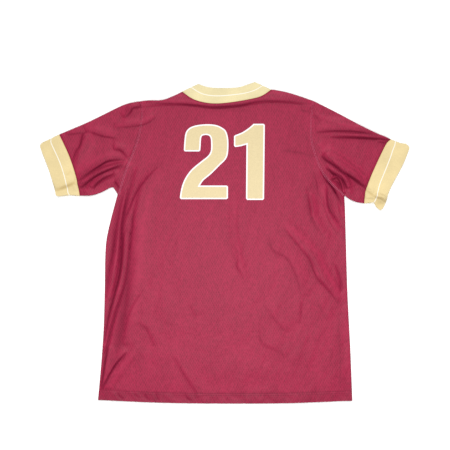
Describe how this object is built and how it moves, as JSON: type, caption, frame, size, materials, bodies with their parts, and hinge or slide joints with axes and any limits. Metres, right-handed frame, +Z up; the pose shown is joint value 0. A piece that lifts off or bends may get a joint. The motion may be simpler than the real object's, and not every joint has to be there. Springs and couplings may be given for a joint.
{
  "type": "baseball jersey",
  "caption": "Pullover short-sleeved baseball jersey laid flat with its back upwards: knit body and sleeves, contrast crew collar and cuff bands.",
  "frame": {"origin": "bottom centre of the bounding box, on the surface that the jersey lies on", "axes": "+X across the sleeves, from the wearer's left to the wearer's right; +Y from the hem to the collar; +Z up, out of the jersey's back"},
  "size_m": [0.9203, 0.8024, 0.0121],
  "materials": {
    "burgundy_knit": "matt polyester mesh knit, burgundy",
    "gold_band": "matt doubled knit band, gold"
  },
  "bodies": {
    "root": {"back_panel": "burgundy_knit", "front_panel": "burgundy_knit", "left_sleeve": "burgundy_knit", "right_sleeve": "burgundy_knit", "left_cuff": "gold_band", "right_cuff": "gold_band", "collar": "gold_band"}
  },
  "joints": []
}
